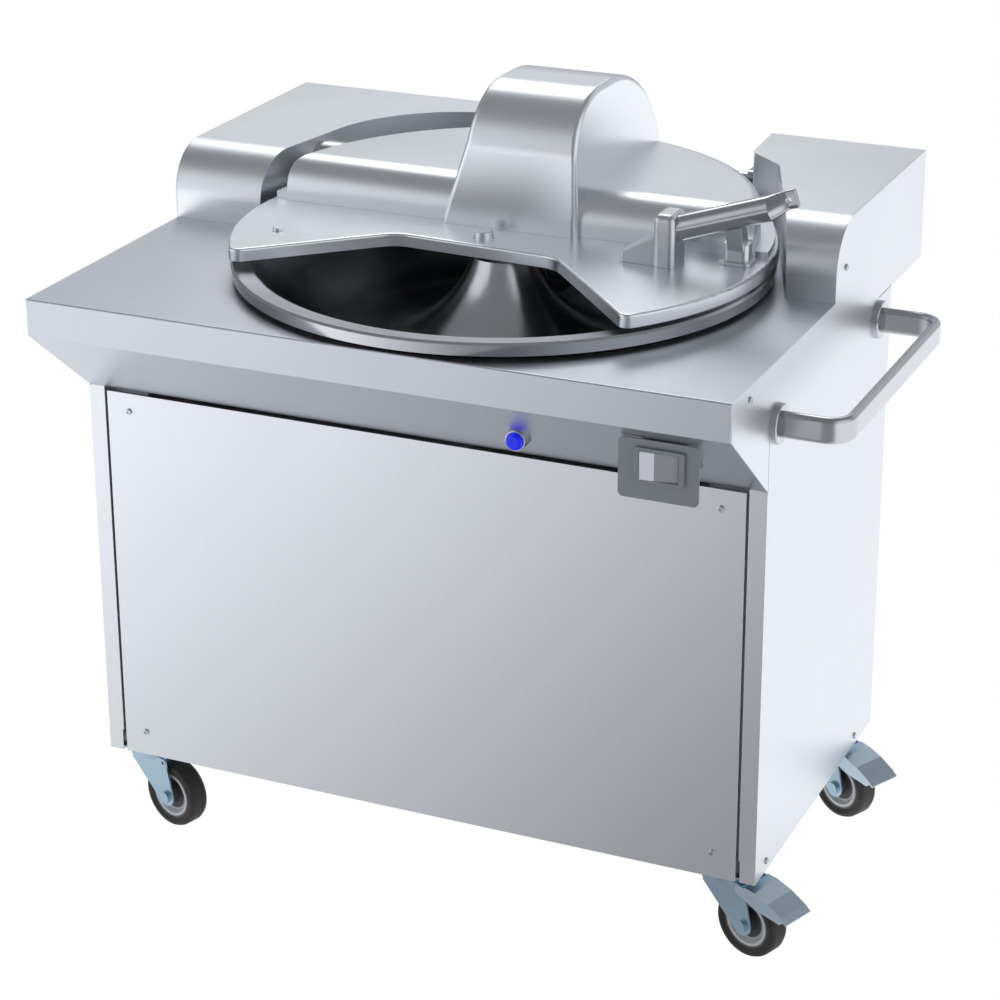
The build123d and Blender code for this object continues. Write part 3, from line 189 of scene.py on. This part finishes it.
# ---------------------------------------------------------------- drives
# The motors are painted a dark blue grey. The main one turns the knife shaft by cast-iron
# pulleys and a rubber belt. The control box is of grey painted sheet, and the supply's gland
# is black plastic.
dress(coat("motor_paint", "#3B4A5A", 0.42, grain=420), "main_motor", "bowl_gearmotor")
dress(coat("cast_iron", "#4A4C4F", 0.5, metallic=0.8, grain=500, depth=0.3), "knife_pulley", "motor_pulley")
dress(coat("belt_rubber", "#151515", 0.7), "drive_belt")
dress(coat("box_paint", "#B9BAB8", 0.45), "electrical_box")
dress(coat("gland_plastic", "#202022", 0.5), "cable_gland")


# ---------------------------------------------------------------- cabinet
# The side, front and rear sheets are stainless, ground upright and nearly smooth, so that
# they mirror the floor softly. Turned screws hold them, brighter than the sheet.
panel_steel = steel("panel_steel", "#E2E4E8", 0.34, grain=(900, 900, 18), depth=0.006, spread=0.01)
screw_steel = steel("screw_steel", "#CDD0D4", 0.20, grain=(300, 300, 300), depth=0.02, edge=0.0004)
dress(panel_steel, "front_panel", "rear_panel", "side_panel_left", "side_panel_right")
dress(screw_steel, "panel_screws", "castor_bolts")


# ---------------------------------------------------------------- worktop and hoods
# The worktop with its lip and fascia is folded from one stainless sheet, ground from side to
# side to a satin. The two hoods toward its rear have a slightly brighter grind.
worktop_steel = steel("worktop_steel", "#C9CDD3", 0.33, grain=(14, 900, 900), depth=0.02)
hood_steel = steel("hood_steel", "#EBEEF2", 0.31, grain=(22, 900, 900), depth=0.012)
dress(worktop_steel, "worktop")
dress(hood_steel, "hood_left", "hood_right")


# ---------------------------------------------------------------- bowl
# The bowl is spun from stainless sheet and half polished, and its nut, spindle and bearing
# housing are turned: all show fine rings about the bowl's axis, which streak the light.
BOWL_RINGS = 260  # noise cells per metre: rings about 4 mm wide, coarse enough to show
NUT_RINGS = 500   # about 2 mm wide
RING_SPREAD = 0.07
RING_DEPTH = 0.05
RING_RELIEF = 0.0003


def turned(name, hex_colour, rough, centre, rings):
    """Turned steel: noise over the distance from the upright axis and the height, so that it
    runs in rings, moves the roughness and tilts the surface."""
    mat, tree, shader = new_material(name, 1.0)
    shader.inputs["Base Color"].default_value = linear(hex_colour)
    place = add(tree, "ShaderNodeTexCoord")
    shift = add(tree, "ShaderNodeVectorMath", {1: (centre[0], centre[1], 0)},
                {0: (place, "Object")}, operation="SUBTRACT")
    flat = add(tree, "ShaderNodeVectorMath", {1: (1, 1, 0)}, {0: (shift, "Vector")},
               operation="MULTIPLY")
    reach = add(tree, "ShaderNodeVectorMath", links={0: (flat, "Vector")}, operation="LENGTH")
    split = add(tree, "ShaderNodeSeparateXYZ", links={"Vector": (place, "Object")})
    ring = add(tree, "ShaderNodeCombineXYZ", links={"X": (reach, "Value"), "Y": (split, "Z")})
    noise = add(tree, "ShaderNodeTexNoise", {"Scale": rings, "Detail": 4.0},
                {"Vector": (ring, "Vector")})
    spread = add(tree, "ShaderNodeMapRange",
                 {"To Min": rough - RING_SPREAD, "To Max": rough + RING_SPREAD},
                 {"Value": (noise, "Fac")})
    feed(tree, shader, links={"Roughness": (spread, "Result")})
    add_relief(tree, shader, noise, RING_DEPTH, RING_RELIEF)
    return mat


bowl_low, bowl_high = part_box("bowl")
bowl_centre = ((bowl_low[0] + bowl_high[0]) / 2, (bowl_low[1] + bowl_high[1]) / 2)
dress(turned("bowl_steel", "#C9CBCE", 0.24, bowl_centre, BOWL_RINGS), "bowl")
nut_steel = turned("nut_steel", "#C9CBCE", 0.22, bowl_centre, NUT_RINGS)
dress(nut_steel, "bowl_nut", "bowl_spindle", "bowl_bearing_housing")


# ---------------------------------------------------------------- knives and shafts
# The sickle knives are ground bright, and their shaft, spacers, nut and bearings and the
# lid's hinge shaft are turned and ground as brightly, smoother than any sheet.
ground_steel = steel("ground_steel", "#D9DBDE", 0.16, grain=(400, 60, 60), depth=0.03)
dress(ground_steel, "knives", "knife_shaft", "knife_spacers", "knife_nut", "knife_bearings")
dress(ground_steel, "lid_hinge_shaft")


# ---------------------------------------------------------------- lid
# The lid's plate, its raised chamber, the knife hood and the hinge arms are welded from
# stainless sheet and polished finer than the cabinet, so that they mirror the studio best.
lid_steel = steel("lid_steel", "#EEF1F5", 0.27, grain=(30, 900, 900), depth=0.008, spread=0.012)
dress(lid_steel, "lid_plate", "lid_cover", "knife_hood", "lid_hinge_arms", "lid_plugs")


# ---------------------------------------------------------------- lid grip and push handle
# The grip and the push handle are drawn stainless tube, the brightest metal of the machine,
# and the knife sleeve and hinge brackets match it. The grip's clamp and stand are cast, with
# an even blasted grain and soft edges.
tube_steel = steel("tube_steel", "#C6C8CB", 0.17, grain=(300, 12, 300), depth=0.02)
cast_metal = steel("cast_metal", "#D6D9DD", 0.30, grain=(160, 160, 160), depth=0.05, edge=0.0025)
dress(tube_steel, "push_handle", "handle_flanges", "lid_handle_tube", "knife_sleeve", "lid_hinge_brackets")
dress(cast_metal, "lid_handle_socket", "lid_handle_stand")


# ---------------------------------------------------------------- switch and button
# A grey plate carries a moulded rocker of one plastic, painted pale on its raised left half as
# painted light and mid grey on its right half as painted shade, parted at the ridge. The button
# is a clear blue lens, faintly lit from behind, in a turned ring.
RIDGE_SHARE = 0.38   # the ridge's place, as a share of the rocker's width from the left
RIDGE_BLEND = 0.0004
LENS_GLOW = 0.35

dress(coat("switch_grey", "#8D9298", 0.36, metallic=0.35, grain=600, depth=0.04), "switch_plate")
rocker_plastic = coat("rocker_plastic", "#A5A8AC", 0.30, grain=600, depth=0.02)
rocker_low, rocker_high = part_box("rocker")
ridge = rocker_low[0] + RIDGE_SHARE * (rocker_high[0] - rocker_low[0])
rocker_tree = rocker_plastic.node_tree
rocker_place = add(rocker_tree, "ShaderNodeTexCoord")
rocker_split = add(rocker_tree, "ShaderNodeSeparateXYZ", links={"Vector": (rocker_place, "Object")})
# The pale left half is painted light and the grey right half is painted shade on one plastic, parted at the
# ridge.
rocker_lit_and_shaded_halves = add(rocker_tree, "ShaderNodeMapRange",
                    {"From Min": ridge - RIDGE_BLEND, "From Max": ridge + RIDGE_BLEND},
                    {"Value": (rocker_split, "X")})
rocker_painted_light_and_shade = add(rocker_tree, "ShaderNodeMixRGB",
                   {"Color1": linear("#EEF3F8"), "Color2": linear("#A2A5A8")},
                   {"Fac": (rocker_lit_and_shaded_halves, "Result")})
feed(rocker_tree, rocker_tree.nodes["Principled BSDF"], links={"Base Color": (rocker_painted_light_and_shade, "Color")})
dress(rocker_plastic, "rocker")

blue_lens = coat("blue_lens", "#0A1FE0", 0.18, grain=200, depth=0.02)
feed(blue_lens.node_tree, blue_lens.node_tree.nodes["Principled BSDF"],
     {"Emission Color": linear("#0A18FF"), "Emission Strength": LENS_GLOW})
dress(blue_lens, "button_cap")
dress(screw_steel, "button_bezel")


# ---------------------------------------------------------------- studio
# The steel shows its surroundings, so the world is a studio written as a function of
# direction: a dim base and soft lobes of light. The camera sees plain white in its place.
STUDIO_BASE = 0.27
STUDIO_TINT = "#F4F7FC"
LOBES = [  # axis, cosine where the lobe starts, cosine where it is full, strength
    ((-0.30, 0.62, 0.72), 0.90, 0.975, 1.00),
    ((-0.80, -0.60, 0.12), 0.80, 0.90, 0.80),
    ((-0.30, 0.85, 0.40), 0.80, 0.98, 0.20),
    ((0.95, -0.25, 0.20), 0.70, 0.95, 0.70),
    ((0.50, 0.85, 0.15), 0.75, 0.97, 0.40),
]


def split_by_camera(tree, unseen, seen, output):
    """Give the camera's rays one shader and all other rays the other."""
    rays = add(tree, "ShaderNodeLightPath")
    either = add(tree, "ShaderNodeMixShader",
                 links={"Fac": (rays, "Is Camera Ray"), 1: (unseen, 0), 2: (seen, 0)})
    feed(tree, output, links={"Surface": (either, "Shader")})


world = bpy.data.worlds.new("studio")
bpy.context.scene.world = world
world.use_nodes = True
sky = world.node_tree
sky.nodes.clear()
direction = add(sky, "ShaderNodeTexCoord")
total = None
for axis, start, full, strength in LOBES:
    facing = add(sky, "ShaderNodeVectorMath", {1: Vector(axis).normalized()},
                 {0: (direction, "Generated")}, operation="DOT_PRODUCT")
    lobe = add(sky, "ShaderNodeMapRange", {"From Min": start, "From Max": full, "To Max": strength},
               {"Value": (facing, "Value")}, interpolation_type="SMOOTHSTEP")
    if total is None:
        total = add(sky, "ShaderNodeMath", {1: STUDIO_BASE}, {0: (lobe, "Result")}, operation="ADD")
    else:
        total = add(sky, "ShaderNodeMath", links={0: (lobe, "Result"), 1: (total, "Value")}, operation="ADD")
studio = add(sky, "ShaderNodeBackground", {"Color": linear(STUDIO_TINT)}, {"Strength": (total, "Value")})
white = add(sky, "ShaderNodeBackground", {"Color": (1, 1, 1, 1), "Strength": 1.0})
split_by_camera(sky, studio, white, add(sky, "ShaderNodeOutputWorld"))


# ---------------------------------------------------------------- soft box
# One large lamp above and behind the machine puts a line of light on its folds.
KEY_PLACE = (-0.9, 1.9, 3.1)
KEY_AIM = (0, 0, 0.9)
KEY_WIDTH, KEY_DEPTH = 1.6, 1.0
KEY_WATTS = 12

key_data = bpy.data.lights.new("key", "AREA")
key_data.shape = "RECTANGLE"
key_data.size = KEY_WIDTH
key_data.size_y = KEY_DEPTH
key_data.energy = KEY_WATTS
key = bpy.data.objects.new("key", key_data)
bpy.context.scene.collection.objects.link(key)
key.location = KEY_PLACE
key.rotation_euler = (Vector(KEY_AIM) - key.location).to_track_quat("-Z", "Y").to_euler()


# ---------------------------------------------------------------- floor
# The upright sheets mirror the studio floor. It glows more toward the front left and behind
# the machine on the right, so the front grades darker toward its lower right corner. The
# camera sees through it to the white.
FLOOR_HALF = 7.0       # half of its side
FLOOR_DROP = 0.001     # its depth below the wheels
FLOOR_TINT = "#F6F8FC"
FLOOR_DARK = 0.37
FLOOR_LEFT = 1.42
FLOOR_REAR = 1.22
DARK_X, LEFT_X = 0.30, -1.50        # where the ramp to the left starts and ends
REAR_SLOPE = 0.8                    # how much Y counts beside X
REAR_START, REAR_FULL = -0.1, 0.8   # where that sum lets the rear light in

floor_plan = [(-1, -1), (1, -1), (1, 1), (-1, 1)]
floor_points = [(x * FLOOR_HALF, y * FLOOR_HALF, -FLOOR_DROP) for x, y in floor_plan]
floor_data = bpy.data.meshes.new("floor")
floor_data.from_pydata(floor_points, [], [(0, 1, 2, 3)])
floor = bpy.data.objects.new("floor", floor_data)
bpy.context.scene.collection.objects.link(floor)
floor_paint = bpy.data.materials.new("floor_paint")
floor_paint.use_nodes = True
ground = floor_paint.node_tree
ground.nodes.clear()
spot = add(ground, "ShaderNodeTexCoord")
spot_split = add(ground, "ShaderNodeSeparateXYZ", links={"Vector": (spot, "Object")})
ahead = add(ground, "ShaderNodeMapRange",
            {"From Min": DARK_X, "From Max": LEFT_X, "To Min": FLOOR_DARK, "To Max": FLOOR_LEFT},
            {"Value": (spot_split, "X")})
behind = add(ground, "ShaderNodeMath", {1: REAR_SLOPE},
             {0: (spot_split, "Y"), 2: (spot_split, "X")}, operation="MULTIPLY_ADD")
rear_share = add(ground, "ShaderNodeMapRange", {"From Min": REAR_START, "From Max": REAR_FULL},
                 {"Value": (behind, "Value")}, interpolation_type="SMOOTHSTEP")
level = add(ground, "ShaderNodeMix", {"B": FLOOR_REAR},
            {"Factor": (rear_share, "Result"), "A": (ahead, "Result")})
glow = add(ground, "ShaderNodeEmission", {"Color": linear(FLOOR_TINT)}, {"Strength": (level, "Result")})
clear = add(ground, "ShaderNodeBsdfTransparent")
split_by_camera(ground, glow, clear, add(ground, "ShaderNodeOutputMaterial"))
floor_data.materials.append(floor_paint)


# ---------------------------------------------------------------- camera
# Standing height, in front and to the right of the machine, looking down at the bowl through
# a long lens. Angles are in degrees, and shifts are shares of the picture's width.
CAMERA_PLACE = (1.4908, -3.4341, 2.0786)
CAMERA_YAW = 24.38
CAMERA_PITCH = 21.14
CAMERA_ROLL = -0.38
CAMERA_SENSOR = 36.0
CAMERA_LENS = 102.16
CAMERA_SHIFT_X = 0.02
CAMERA_SHIFT_Y = -0.08

camera_data = bpy.data.cameras.new("camera")
camera_data.sensor_width = CAMERA_SENSOR
camera_data.lens = CAMERA_LENS
camera_data.shift_x = CAMERA_SHIFT_X
camera_data.shift_y = CAMERA_SHIFT_Y
camera = bpy.data.objects.new("camera", camera_data)
bpy.context.scene.collection.objects.link(camera)
turn = (
    Matrix.Rotation(math.radians(CAMERA_YAW), 4, "Z")
    @ Matrix.Rotation(math.radians(90 - CAMERA_PITCH), 4, "X")
    @ Matrix.Rotation(math.radians(CAMERA_ROLL), 4, "Z")
)
camera.matrix_world = Matrix.Translation(CAMERA_PLACE) @ turn
bpy.context.scene.camera = camera
bpy.context.scene.view_settings.view_transform = "Standard"
